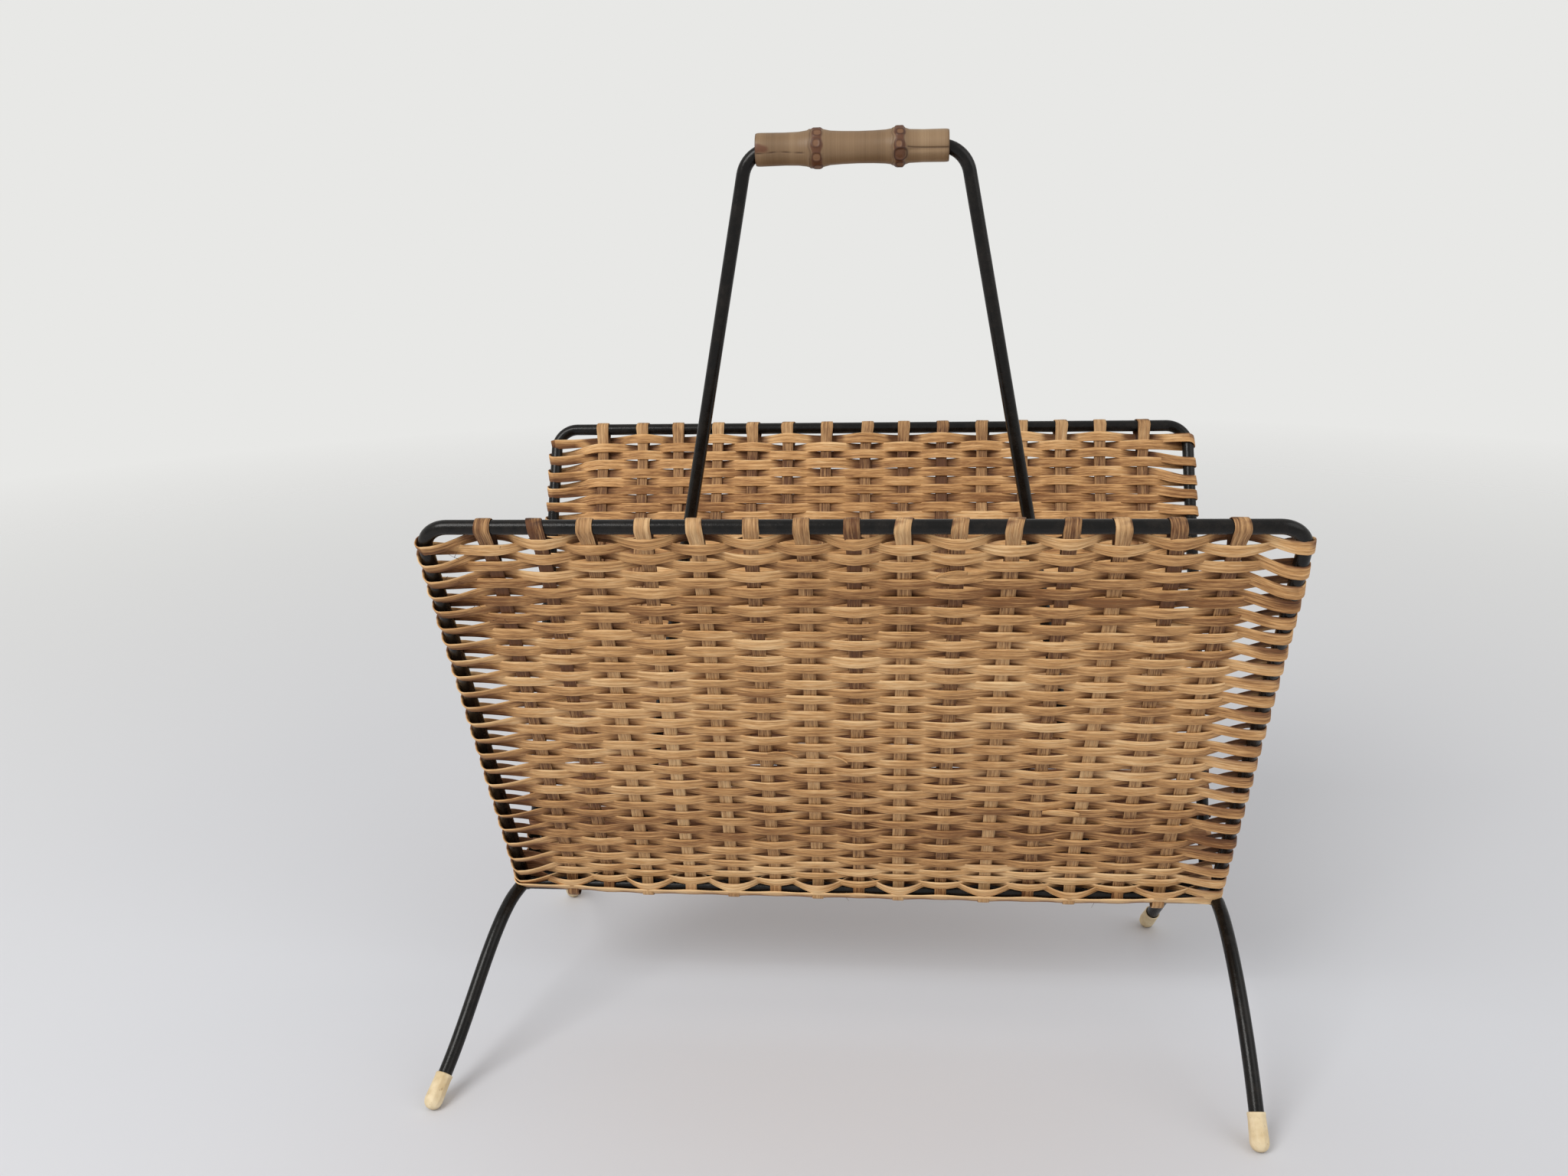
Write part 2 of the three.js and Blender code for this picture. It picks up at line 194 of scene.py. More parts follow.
class Panel:
    """One woven panel: x across from its middle, v up from the bottom rail's axis, w outwards from its plane."""

    def __init__(self, side, facing):
        self.side = side
        low, high = (np.array(corner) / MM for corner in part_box(side + "_panel_frame"))
        bow_low, bow_high = (np.array(corner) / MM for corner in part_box(side + "_leg_bow"))
        stake_low, stake_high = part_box(side + "_stake_08")
        middle = mean(stake_low.x, stake_high.x) / MM
        if facing < 0:
            top_y, bottom_y = low[1] + RODS / 2, bow_high[1] - BOW_ROD / 2
        else:
            top_y, bottom_y = high[1] - RODS / 2, bow_low[1] + BOW_ROD / 2
        self.bottom = np.array((middle, bottom_y, bow_high[2] - BOW_ROD / 2))
        top = np.array((middle, top_y, high[2] - RODS / 2))
        self.height = np.linalg.norm(top - self.bottom)
        self.up = (top - self.bottom) / self.height
        self.out = np.array((0, facing * self.up[2], -abs(self.up[1])))
        # Whether (x, v, w) is left-handed, so that faces have to be turned round
        self.flip = facing > 0
        # The basket's inside is seen on the back panel, and its outside on the front one
        self.seen = -facing
        self.warps = np.arange(STAKES + 2)
        self.left_rod, self.right_rod = self.side_rod(-1), self.side_rod(1)

    def crosses_over(self, row):
        """Whether a row passes each warp on the viewer's side."""
        return (row + self.warps) % 2 == 0

    def place(self, points):
        """Panel points (x, v, w) in millimetres as points of the frame."""
        points = np.asarray(points, float)
        across = points[:, :1] * (1.0, 0, 0)
        return self.bottom + across + points[:, 1:2] * self.up + points[:, 2:3] * self.out

    def side_rod(self, side):
        """Where a side rod's line crosses the bottom rail's axis and the top rail's."""
        found = []
        for height in ROD_CUTS:
            centre = cut_centre(self.side + "_panel_frame", height, side)
            found.append((centre[0] - self.bottom[0], (centre - self.bottom) @ self.up))
        (x0, v0), (x1, v1) = found
        slope = (x1 - x0) / (v1 - v0)
        return x0 - slope * v0, x0 + slope * (self.height - v0)

    def rod_path(self):
        """The frame rod's two feet and two corners, from left to right."""
        feet, tops = zip(self.left_rod, self.right_rod)
        return self.place([(feet[0], ROD_FOOT, 0), (tops[0], self.height, 0), (tops[1], self.height, 0),
                           (feet[1], ROD_FOOT, 0)])


def cut_centre(node, height, side):
    """Centre of the rod that a level plane cuts on the node's left (-1) or right (1), in millimetres."""
    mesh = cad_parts[node].data
    low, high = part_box(node)
    middle = mean(low.x, high.x)
    level = height * MM
    hits = []
    for edge in mesh.edges:
        a, b = (mesh.vertices[i].co for i in edge.vertices)
        if (a.z - level) * (b.z - level) < 0:
            hit = a.lerp(b, (level - a.z) / (b.z - a.z))
            if (hit.x - middle) * side > 0:
                hits.append(hit)
    hits = np.array(hits) / MM
    return mean(hits.min(0), hits.max(0))


def ring_axis(node):
    """Centres of a bent rod's rings from one end to the other, in millimetres."""
    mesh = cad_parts[node].data
    spots = {}
    index = []
    for vertex in mesh.vertices:
        key = tuple(round(c / MM, 3) for c in vertex.co)
        index.append(spots.setdefault(key, len(spots)))
    places = np.array(list(spots))
    near = [set() for _ in places]
    flats = {}
    for polygon in mesh.polygons:
        corners = [index[i] for i in polygon.vertices]
        for corner in corners:
            near[corner].update(corners)
        normal = polygon.normal
        key = (*(round(c, 2) for c in normal), round(normal.dot(polygon.center) / MM, 1))
        flats.setdefault(key, set()).update(corners)
    ring = max(flats.values(), key=len)
    seen = set(ring)
    centres = []
    while ring:
        centres.append(places[list(ring)].mean(0))
        ring = set().union(*(near[i] for i in ring)) - seen
        seen |= ring
    return np.array(centres)


def smooth_path(points, step):
    """A finer path through the points, with places about step apart; much longer runs are straight."""
    runs = np.diff(points, axis=0)
    gaps = np.linalg.norm(runs, axis=1)
    ways = runs / gaps[:, None]
    slopes = np.empty_like(points)
    slopes[0], slopes[-1] = ways[0], ways[-1]
    for i in range(1, len(points) - 1):
        before, after = gaps[i - 1], gaps[i]
        if max(before, after) > STRAIGHT_RUN * min(before, after):
            slopes[i] = ways[i - 1] if before > after else ways[i]
        else:
            slopes[i] = (ways[i - 1] * after + ways[i] * before) / (before + after)
    fine = [points[0]]
    for i, gap in enumerate(gaps):
        count = max(1, round(gap / step))
        for k in range(1, count + 1):
            t = k / count
            a, b = points[i], points[i + 1]
            da, db = slopes[i] * gap, slopes[i + 1] * gap
            h = (2 * t**3 - 3 * t**2 + 1, t**3 - 2 * t**2 + t, 3 * t**2 - 2 * t**3, t**3 - t**2)
            fine.append(h[0] * a + h[1] * da + h[2] * b + h[3] * db)
    return np.array(fine)


def bent_path(corners, radius, bend_steps):
    """A path of straight runs with a round bend at each inner corner."""
    path = [corners[0]]
    for i in range(1, len(corners) - 1):
        before, after = unit(corners[i - 1] - corners[i]), unit(corners[i + 1] - corners[i])
        half = math.acos(np.clip(before @ after, -1, 1)) / 2
        reach = radius / math.tan(half)
        middle = unit(before + after)
        centre = corners[i] + middle * radius / math.sin(half)
        start = corners[i] + before * reach - centre
        side = -before
        turn = math.pi - 2 * half
        for k in range(bend_steps + 1):
            angle = turn * k / bend_steps
            path.append(centre + start * math.cos(angle) + side * radius * math.sin(angle))
    path.append(corners[-1])
    return np.array(path)


# Meshes


def add_object(name, points, faces, body="rack", **marks):
    """A smooth mesh from points in the frame. Marks are its attributes, for each point or once for all."""
    mesh = bpy.data.meshes.new(name)
    mesh.from_pydata((np.asarray(points) * MM).tolist(), [], faces)
    mesh.polygons.foreach_set("use_smooth", np.ones(len(mesh.polygons), bool))
    for mark, values in marks.items():
        values = np.asarray(values, np.float32)
        if values.ndim == 0 or values.shape == (3,):
            values = np.tile(values, (len(points), 1)[:values.ndim + 1])
        if values.ndim == 2:
            mesh.attributes.new(mark, "FLOAT_VECTOR", "POINT").data.foreach_set("vector", values.ravel())
        else:
            mesh.attributes.new(mark, "FLOAT", "POINT").data.foreach_set("value", values)
    mesh.update()
    thing = link(name, mesh)
    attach(thing, body)
    return thing


def dress(thing, slot, *replaced, looks=None):
    """Give a piece a slot's looks, or another slot's looks, and hide the CAD nodes that it stands for."""
    thing.data.materials.append(materials[looks or slot])
    if replaced:
        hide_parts(*replaced)


# Ways round a face between two rings: its corners are here, beside, ahead, and ahead beside
OUTWARDS = (0, 1, 3, 2)
FLIPPED = (2, 3, 1, 0)
INWARDS = (0, 2, 3, 1)


def ring_faces(rings, sides, way, start=0, closed=False):
    """Faces between rings of points in a row, from a first point on."""
    faces = []
    for i in range(rings if closed else rings - 1):
        for k in range(sides):
            here, beside = i * sides + k, i * sides + (k + 1) % sides
            corners = (here, beside, (here + sides) % (rings * sides), (beside + sides) % (rings * sides))
            faces.append(tuple(start + corners[j] for j in way))
    return faces


def end_faces(rings, sides, flip):
    """Faces that close the first and the last ring."""
    first = tuple(range(sides))
    last = tuple(range((rings - 1) * sides, rings * sides))
    return [first, last[::-1]] if flip else [first[::-1], last]


def tangents(path):
    ahead = np.gradient(path, axis=0)
    return ahead / np.linalg.norm(ahead, axis=1, keepdims=True)


def sweep(path, across, section, flip=False):
    """Rings of a section along a path. A section point is (along across, square to it)."""
    forward = tangents(path)
    across = across - forward * np.sum(across * forward, axis=1, keepdims=True)
    across /= np.linalg.norm(across, axis=1, keepdims=True)
    face = np.cross(forward, across)
    if section.ndim == 2:
        section = np.broadcast_to(section, (len(path), *section.shape))
    rings = path[:, None] + section[..., :1] * across[:, None] + section[..., 1:] * face[:, None]
    count, sides = rings.shape[:2]
    faces = ring_faces(count, sides, FLIPPED if flip else OUTWARDS) + end_faces(count, sides, flip)
    return rings.reshape(-1, 3), faces


def round_section(radius, sides):
    return columns(radius * np.cos(circle(sides)), radius * np.sin(circle(sides)))


def rod(name, path, diameter, node):
    """A round painted rod along a path, in place of a CAD node."""
    across = np.zeros_like(path)
    forward = tangents(path)
    across[0] = np.cross(forward[0], (0.3, 0.5, 0.8))
    for i in range(1, len(path)):
        across[i] = unit(across[i - 1] - forward[i] * (across[i - 1] @ forward[i]))
    points, faces = sweep(path, across, round_section(diameter / 2, 28))
    dress(add_object(name, points, faces), "black_lacquer", node)


# Reed section: flat with rounded edges, as shares of half the width and half the thickness
REED_CORNER = [(1, 0.26), (0.94, 0.74), (0.55, 1)]
REED_SECTION = np.array(
    REED_CORNER + [(-x, y) for x, y in REED_CORNER[::-1]]
    + [(-x, -y) for x, y in REED_CORNER] + [(x, -y) for x, y in REED_CORNER[::-1]])


def reed(panel, name, path, across, width, thickness, number, tone, strips=0):
    """One reed along a path of panel points, marked with (along, across, number) and a tone. A woven one is
    laid out flat in strips, and gets painted shade where it is out of the light."""
    sizes = columns(width, thickness, np.zeros(len(path)))[:, :2] / 2
    points, faces = sweep(path, across, REED_SECTION * sizes[:, None], panel.flip)
    along = np.r_[0, np.cumsum(np.linalg.norm(np.diff(path, axis=0), axis=1))]
    values = columns(along[:, None], REED_SECTION[:, 0], number).reshape(-1, 3)
    tones = np.repeat(np.broadcast_to(tone, len(path)), len(REED_SECTION))
    thing = add_object(f"{panel.side}_{name}", panel.place(points), faces, reed=values, tone=tones,
                       hidden=hidden_share(path, points) if strips else 0)
    if strips:
        map_strips(thing, len(path), strips, panel.flip)
    return thing


# In how many strips a reed's surface is laid out, and the share of the width and height that they fill
WEAVER_STRIPS = 47
STAKE_STRIPS = 6
STRIP_LENGTH = 0.985
STRIP_HEIGHT = 0.9


def map_strips(thing, rings, strips, flip):
    """Lay a reed's surface out flat as strips, one above another."""
    sides = len(REED_SECTION)
    per_strip = math.ceil((rings - 1) / strips)
    ring, side = np.divmod(np.arange((rings - 1) * sides), sides)
    strip, within = np.divmod(ring, per_strip)
    left, right = ((within + step) / per_strip * STRIP_LENGTH for step in (0, 1))
    low, high = ((strip + (1 - STRIP_HEIGHT) / 2 + STRIP_HEIGHT * (side + step) / sides) / strips for step in (0, 1))
    corners = [columns(left, low), columns(left, high), columns(right, high), columns(right, low)]
    uv = np.stack(corners[::-1] if flip else corners, axis=1).reshape(-1, 2)
    # The reed's two cut ends, as small discs beside the strips
    ends = [round_section(0.005, sides) + (0.993, middle) for middle in (0.25, 0.75)]
    layer = thing.data.uv_layers.new(name="OFBake")
    layer.data.foreach_set("uv", np.concatenate((uv, *ends)).astype(np.float32).ravel())


def fade(distance, reach, power=1.6):
    """1 at no distance, falling to 0 at reach."""
    return np.clip(1 - distance / reach, 0, 1) ** power


def hidden_share(path, points):
    """Painted shade: how far each point of a reed is painted darker for being out of the light, in the weave or deep
    inside the basket.
    """
    rings = points.reshape(len(path), -1, 3)
    outwards = np.clip((rings[..., 2] - path[:, None, 2]) / (WEAVER_THICKNESS / 2), -1, 1)
    shade_in_weave = np.clip(-outwards * path[:, None, 2], 0, 1) * WEAVE_SHADE
    low = np.clip((DEEP_INSIDE - path[:, None, 1]) / DEEP_REACH, 0, 1)
    deep = low * np.clip(0.5 - outwards, 0, 1) * DEEP_SHADE
    return np.maximum(shade_in_weave, deep).ravel()


def stake_half(panel, v):
    """Half the distance between a stake's two strands, which close up away from the rails."""
    near = STAKE_THICKNESS / 2 + 0.02
    top = (TOP_LOOP - near) * fade(panel.height - v, CLOSING_BELOW_TOP)
    return near + top + (BOTTOM_LOOP - near) * fade(v, CLOSING_ABOVE_BOTTOM, 2)


def warp_places(panel, v):
    """Where the left rod, the stakes and the right rod stand at a height."""
    _, top, bottom = STAKE_PLACES[panel.side]
    share = v / panel.height
    stakes = blend(np.array(bottom), np.array(top), share)
    left, right = (np.interp(v, (0, panel.height), rod_line) for rod_line in (panel.left_rod, panel.right_rod))
    return np.r_[left, stakes, right]


def table(places, at):
    """A value between the places that a table names."""
    return np.interp(at, list(places), list(places.values()))


class Weave:
    """Where each row passes each warp: its height, its depth towards the viewer, and how far its upper edge
    tilts towards the viewer, in degrees."""

    def __init__(self, panel):
        self.panel = panel
        rows = np.arange(ROWS)
        shape = (ROWS, STAKES + 2)
        base = panel.height - table(ROW_PLACES, rows)
        self.height = base[:, None] + rng.normal(0, CROSSING_SCATTER, shape) + rng.normal(0, ROW_SCATTER, (ROWS, 1))
        self.height -= (rng.random(shape) < SAG_CHANCE) * rng.uniform(*SAGS, shape)
        self.height[1::2, 1:-1] += ODD_RISE[panel.side]
        for warp, slides in ((0, LEFT_SLIDE), (-1, RIGHT_SLIDE)):
            self.height[list(slides), warp] -= list(slides.values())
        self.height[1::2, 0] -= ODD_LEFT_DROP
        self.height[1::2, -1] += ODD_RIGHT_RISE
        self.height[1:FIRST_ROWS:2, 0] -= FIRST_ODD_DROP
        half = (WEAVER_THICKNESS + STAKE_THICKNESS) / 2
        reach = np.empty(shape)
        reach[:, 1:-1] = stake_half(panel, self.height[:, 1:-1]) + half + np.abs(rng.normal(0, 0.07, (ROWS, STAKES)))
        reach[:, (0, -1)] = (RODS + WEAVER_THICKNESS) / 2 + 0.08 + rng.uniform(0, 0.25, (ROWS, 2))
        self.over = panel.crosses_over(rows[:, None])
        self.depth = np.where(self.over, reach, -reach)
        self.tilt = rng.normal(0, TILT_SCATTER, shape)
        behind = np.where(self.over, 1, -1)
        for warp, tilt in ((0, LEFT_WRAP_TILT), (-1, RIGHT_WRAP_TILT)):
            self.tilt[:, warp] = rng.normal(*tilt, ROWS) * behind[:, warp]
        self.settle_last_rows()

    def settle_last_rows(self):
        """The last row passes outside the rail, and the row before it where the last one is inside a stake."""
        panel, outer = self.panel, self.panel.seen
        rail = BOW_ROD / 2 + WEAVER_THICKNESS / 2 + PLAY
        last = slice(1, -1)
        outside = self.over[-1] if outer > 0 else ~self.over[-1]
        self.height[-1] = table(LAST_ROW, panel.warps) + rng.normal(0, LAST_SCATTER[-1], STAKES + 2)
        self.height[-1] += np.where(outside, LAST_ROW_OVER, LAST_ROW_UNDER)
        self.height[-2] = table(BEFORE_LAST, panel.warps) + rng.normal(0, LAST_SCATTER[-2], STAKES + 2)
        self.depth[-1, last] = outer * (rail + np.where(outside, STAKE_THICKNESS, 0.3))[last]
        before = np.where(outside, BEFORE_LAST_INSIDE, rail + WEAVER_THICKNESS / 2 + STAKE_THICKNESS)
        self.depth[-2, last] = outer * before[last]
        self.tilt[-1, last] = outer * LAST_TILT
        if outer > 0:
            self.height[-1, 0] += LAST_END_RISE
            self.depth[-1, 0] = rail + LAST_END_REACH


def row_path(panel, weave, row):
    """One row from left to right: panel points, directions of its width, widths and thicknesses."""
    steps = 8
    points, across, widths, thick = [], [], [], []
    height, depth, tilt = weave.height[row], weave.depth[row], np.radians(weave.tilt[row])
    over = OVER_WIDTH[panel.side]
    if panel.side == "back" and height.mean() < DEEP_ROWS:
        over += DEEP_SPREAD
    spacing = (table(ROW_PLACES, row + 1) - table(ROW_PLACES, row - 1)) / 2
    spread = np.clip(spacing + SPREAD_OVERLAP[panel.side], LEAST_SPREAD, SPREAD_WIDTH[panel.side])
    sink = SINK_SHARE * ODD_RISE[panel.side] * (row % 2)
    for j in range(STAKES + 1):
        for k in range(steps if j < STAKES else steps + 1):
            t = k / steps
            ease = (1 - math.cos(math.pi * t)) / 2
            v = blend(height[j], height[j + 1], ease)
            if 0 < j < STAKES:
                v -= sink * math.sin(math.pi * t) ** 2
            places = warp_places(panel, v)
            w = blend(depth[j], depth[j + 1], ease) * panel.seen
            points.append((blend(places[j], places[j + 1], t), v, w))
            lean = blend(tilt[j], tilt[j + 1], ease)
            across.append((0, math.cos(lean), math.sin(lean) * panel.seen))
            crossing = math.sin(math.pi * t) ** 2
            widths.append(over + (spread - over) * crossing)
            thick.append(WEAVER_THICKNESS * (1 - PRESSED_SHARE * crossing))
    return np.array(points), np.array(across), np.array(widths), np.array(thick)


def wrap_path(panel, weave, row, right, turned, drop):
    """The turn round a side rod from an end of a row, dropping as it goes, in the same form as a row."""
    end, sideways = (-1, 1) if right else (0, -1)
    start = panel.seen if weave.over[row, end] else -panel.seen
    angle = math.pi / 2 - math.pi * turned
    after = min(row + 1, ROWS - 1)
    ease = (1 - np.cos(math.pi * turned)) / 2
    tilts = np.radians(weave.tilt[:, end]) * np.where(weave.over[:, end], 1, -1)
    tilt = (blend(tilts[row], tilts[after], ease) * (0.3 + 0.7 * np.abs(np.sin(angle))))[:, None]
    radius = blend(abs(weave.depth[row, end]), abs(weave.depth[after, end]), ease)[:, None]
    v = weave.height[row, end] - drop * ease
    x = np.array([warp_places(panel, height)[end] for height in v]) - sideways * corner_inset(panel, v)
    radial = columns(sideways * np.cos(angle), 0, start * np.sin(angle))
    points = columns(x, v, 0) + radius * radial
    across = radial * np.sin(tilt) + np.array((0, 1, 0)) * np.cos(tilt)
    return points, across, np.full(len(v), OVER_WIDTH[panel.side]), np.full(len(v), WEAVER_THICKNESS)


def corner_inset(panel, v):
    """How far a side rod has bent inwards at heights near the top rail."""
    into_bend = np.clip(CORNER_RADIUS - (panel.height - v), 0, CORNER_RADIUS)
    return CORNER_RADIUS - np.sqrt(CORNER_RADIUS**2 - into_bend**2)


def weaver(panel):
    """The long reed woven through a panel's stakes, wrapped round a side rod at the end of each row."""
    weave = Weave(panel)
    turned = np.arange(1, 12) / 12
    # The reed's first end comes round the rod from behind, close under the corner
    first = list(wrap_path(panel, weave, 0, False, turned, FIRST_DROP))
    hug = np.linspace(0, 1, len(turned))
    first[0] += columns(FIRST_INSET * hug, 0, -FIRST_CLOSING * hug * first[0][:, 2])
    first[2] *= 0.97 - FIRST_NARROWING * hug
    pieces, tones = [[values[::-1] for values in first]], [np.full(len(turned), FIRST_TONE)]
    tone = table(ROW_TONES, np.arange(ROWS)) + rng.normal(0, 0.05, ROWS)
    for row in range(ROWS):
        line = row_path(panel, weave, row)
        right = row % 2 == 0
        pieces.append([values if right else values[::-1] for values in line])
        end = -1 if right else 0
        drop = weave.height[row, end] - weave.height[row + 1, end] if row < ROWS - 1 else 1.5
        pieces.append(wrap_path(panel, weave, row, right, turned, drop))
        tones.append(np.full(len(line[0]) + len(turned), tone[row]))
    path, across, width, thick = (np.concatenate(parts) for parts in zip(*pieces))
    knots = np.arange(0, len(path), 40)
    width *= 1 + 0.04 * np.interp(np.arange(len(path)), knots, rng.normal(0, 1, len(knots)))
    thing = reed(panel, "weaver", path, across, width, thick, 2 if panel.flip else 1, np.concatenate(tones),
                 WEAVER_STRIPS)
    dress(thing, "reed_weave", panel.side + "_woven_mat")


def stake_path(panel, number):
    """A stake's reed: a tail on the inside, the lower loop, the outer strand, the upper loop, the inner strand."""
    rail, top, bottom = (places[number - 1] for places in STAKE_PLACES[panel.side])
    slant = rng.uniform(-1.2, 1.2)
    height = panel.height
    heights = np.r_[0:40:2.5, 40:height - 40:6.0, height - 40:height:2.0]
    body = blend(bottom, top, heights / height)
    near_rail = fade(height - heights, LOOP_APPROACH)
    half = stake_half(panel, heights)
    # Where the last row passes between the rail and this stake, the outer strand stands off the rail
    last_row_outside = panel.crosses_over(ROWS - 1)[number] == (panel.seen > 0)
    stand_off = 0 if last_row_outside else WEAVER_THICKNESS + 0.25
    outer_half = half + stand_off * fade(heights, 16, 1.5)
    outside = columns(blend(body, rail + slant, near_rail), heights, outer_half)
    inside = columns(blend(body, rail - slant, near_rail), heights, -half)
    turned = np.arange(0, 9) / 8 * math.pi
    loop = columns(rail + slant * np.cos(turned), height + TOP_LOOP * np.sin(turned), TOP_LOOP * np.cos(turned))
    hang = PLAY if last_row_outside else LOOSE_END_LOOP if number in (1, STAKES) else LOOSE_LOOP
    turned = np.arange(1, 12) / 12 * math.pi
    reach = BOTTOM_LOOP + stand_off * np.clip(-np.cos(turned), 0, 1)
    under = columns(body[0], -(BOTTOM_LOOP + hang) * np.sin(turned),
                    -np.cos(turned) * reach + 0.8 * hang * np.sin(turned))
    tail = inside[:5][::-1]
    path = np.concatenate((tail - (0, 0, STAKE_THICKNESS), under, outside, loop, inside[::-1][:-4]))
    knots = np.arange(0, len(path), 10)
    path[:, 0] += np.interp(np.arange(len(path)), knots, rng.normal(0, 0.25, len(knots)))
    return path


def stake(panel, number):
    """A reed doubled over the top rail, both strands running down to the bottom rail and round it."""
    path = stake_path(panel, number)
    v = path[:, 1]
    across = np.tile((1.0, 0.0, 0.0), (len(path), 1))
    width = STAKE_WIDTH * (1 + LOOP_SPREAD * fade(np.abs(panel.height - v), PALE_TOP))
    browner = np.clip((v - BROWN_FROM) / BROWN_REACH, 0, 1) * np.clip((panel.height - 6 - v) / PALE_TOP, 0, 1)
    stake_tone = rng.normal(-0.02, 0.1) - STAKE_TOP_BROWN * browner
    thing = reed(panel, f"stake_reed_{number:02d}", path, across, width, STAKE_THICKNESS,
                 number + (0 if panel.flip else 20), stake_tone, STAKE_STRIPS)
    dress(thing, "reed_stake", f"{panel.side}_stake_{number:02d}")


# Loose ends of reed on the front panel


# Hairs in the gaps near the left rod, and two that hang below the edge: (x, v, reach across, reach up)
HAIRS = [
    (-187, 263, 3, 5), (-185, 262, -4, 4), (-174, 267, 4, 2), (-166, 267, 3, 4), (-193, 251, -3, -4),
    (-190, 249, 4, -2), (-182, 235, 2, -4), (-183, 233, -3, -2), (-177, 222, 4, 3), (-171, 223, 2, -2),
    (-168, 206, 3, 2), (-10, -2, 2, -6), (136, -2, -2, -7),
]
HAIR_RADIUS = 0.13
# Spliced ends that lie on the weave: (left x, right x, v, rise, width, how far the tip stands up)
SPLICES = [
    (-48, -32, 126, -3, 2.4, 1.4), (-16, -6, 124, -5, 1.6, 1.2), (99, 119, 79, -1.5, 4.4, 0.5),
    (38, 52, 252, 3, 2.6, 1.4),
]
SPLICE_THICKNESS = 0.6
# The front panel's outer face above its plane
FACE = 1.8


def add_hairs(panel):
    for number, (x, v, along, rise) in enumerate(HAIRS, start=1):
        t = np.linspace(0, 1, 12)[:, None]
        bend = rng.uniform(-1.5, 1.5, 2)
        path = np.array((x, v, FACE)) + t * (along, rise, 1.0) + t * (1 - t) * (bend[0] * 2, bend[1] * 2, 1.5)
        radius = HAIR_RADIUS * (1 - 0.6 * t[:, :, None])
        across = np.tile((0.3, 0.2, 1.0), (len(path), 1))
        points, faces = sweep(path, across, round_section(1, 6) * radius, panel.flip)
        hair = add_object(f"{panel.side}_hair_{number:02d}", panel.place(points), faces, reed=(1, 0, number),
                          tone=-0.5, hidden=0.55)
        dress(hair, "reed_weave", looks="reed_stake")


def add_splices(panel):
    for number, (left, right, v, rise, width, lift) in enumerate(SPLICES, start=1):
        t = np.linspace(0, 1, 16)
        path = columns(left + (right - left) * t, v + rise * t, 1.75 + lift * np.abs(2 * t - 1) ** 3)
        across = np.tile((0.0, 1.0, -0.1), (len(path), 1))
        widths = width * np.sin(math.pi * np.clip(t, 0.04, 0.94)) ** 0.3
        splice = reed(panel, f"splice_{number:02d}", path, across, widths, SPLICE_THICKNESS, 60 + number, -0.1)
        dress(splice, "reed_weave")


# Rods


def add_rods(panels):
    for panel in panels:
        side = panel.side
        axis = ring_axis(side + "_leg_bow")
        rod(side + "_bow_rod", smooth_path(axis, 2.0), BOW_ROD, side + "_leg_bow")
        if axis[0][0] > axis[-1][0]:
            axis = axis[::-1]
        foot_cap(side + "_left_foot_cap", axis[0], axis[1])
        foot_cap(side + "_right_foot_cap", axis[-1], axis[-2])
        corners = panel.rod_path()
        for name, foot in (("left", corners[0]), ("right", corners[-1])):
            weld(f"{side}_{name}_weld", foot, ROD_WELD)
        rod(side + "_frame_rod", bent_path(corners, CORNER_RADIUS, 16), RODS, side + "_panel_frame")
    axis = ring_axis("bail")
    rod("bail_rod", smooth_path(axis, 2.0), RODS, "bail")
    for name, end in (("left", axis[0]), ("right", axis[-1])):
        for panel in panels:
            weld(f"bail_{name}_{panel.side}_weld", (end[0], panel.bottom[1] / 2, panel.bottom[2]), BAIL_WELD)


# Bamboo grip


# Its diameters along its length from its middle, its nodes' root scars as (first one's degrees, count, radius),
# and the big scar as (place, degrees, radius)
GRIP_WIDTHS = {
    -49: 16.0, -47: 16.3, -34: 15.9, -27: 16.3, -23: 17.4, -20.6: 18.9, -19.2: 19.8, -15.9: 19.8, -14.6: 18.2,
    -11: 16.6, -5: 15.9, 3: 15.5, 11: 15.7, 17: 16.3, 20.6: 17.4, 22.0: 19.4, 22.8: 19.9, 25.8: 19.9, 26.8: 17.7,
    29: 16.2, 36: 15.7, 47: 15.9, 49: 15.6,
}
GRIP_HALF = 49
NODES = {-17.6: (-3, 9, 2.35), 24.2: (9, 10, 2.2)}
BIG_SCAR = (24.6, 114, 3.2)
SCAR_BAND = 2.9
GRIP_BORE = 3.8
GRIP_HOLLOW = 6.1
GRIP_DEPTH = 12


def arc(a, b):
    """The distance between angles in degrees, the short way round."""
    return (a - b + 180) % 360 - 180


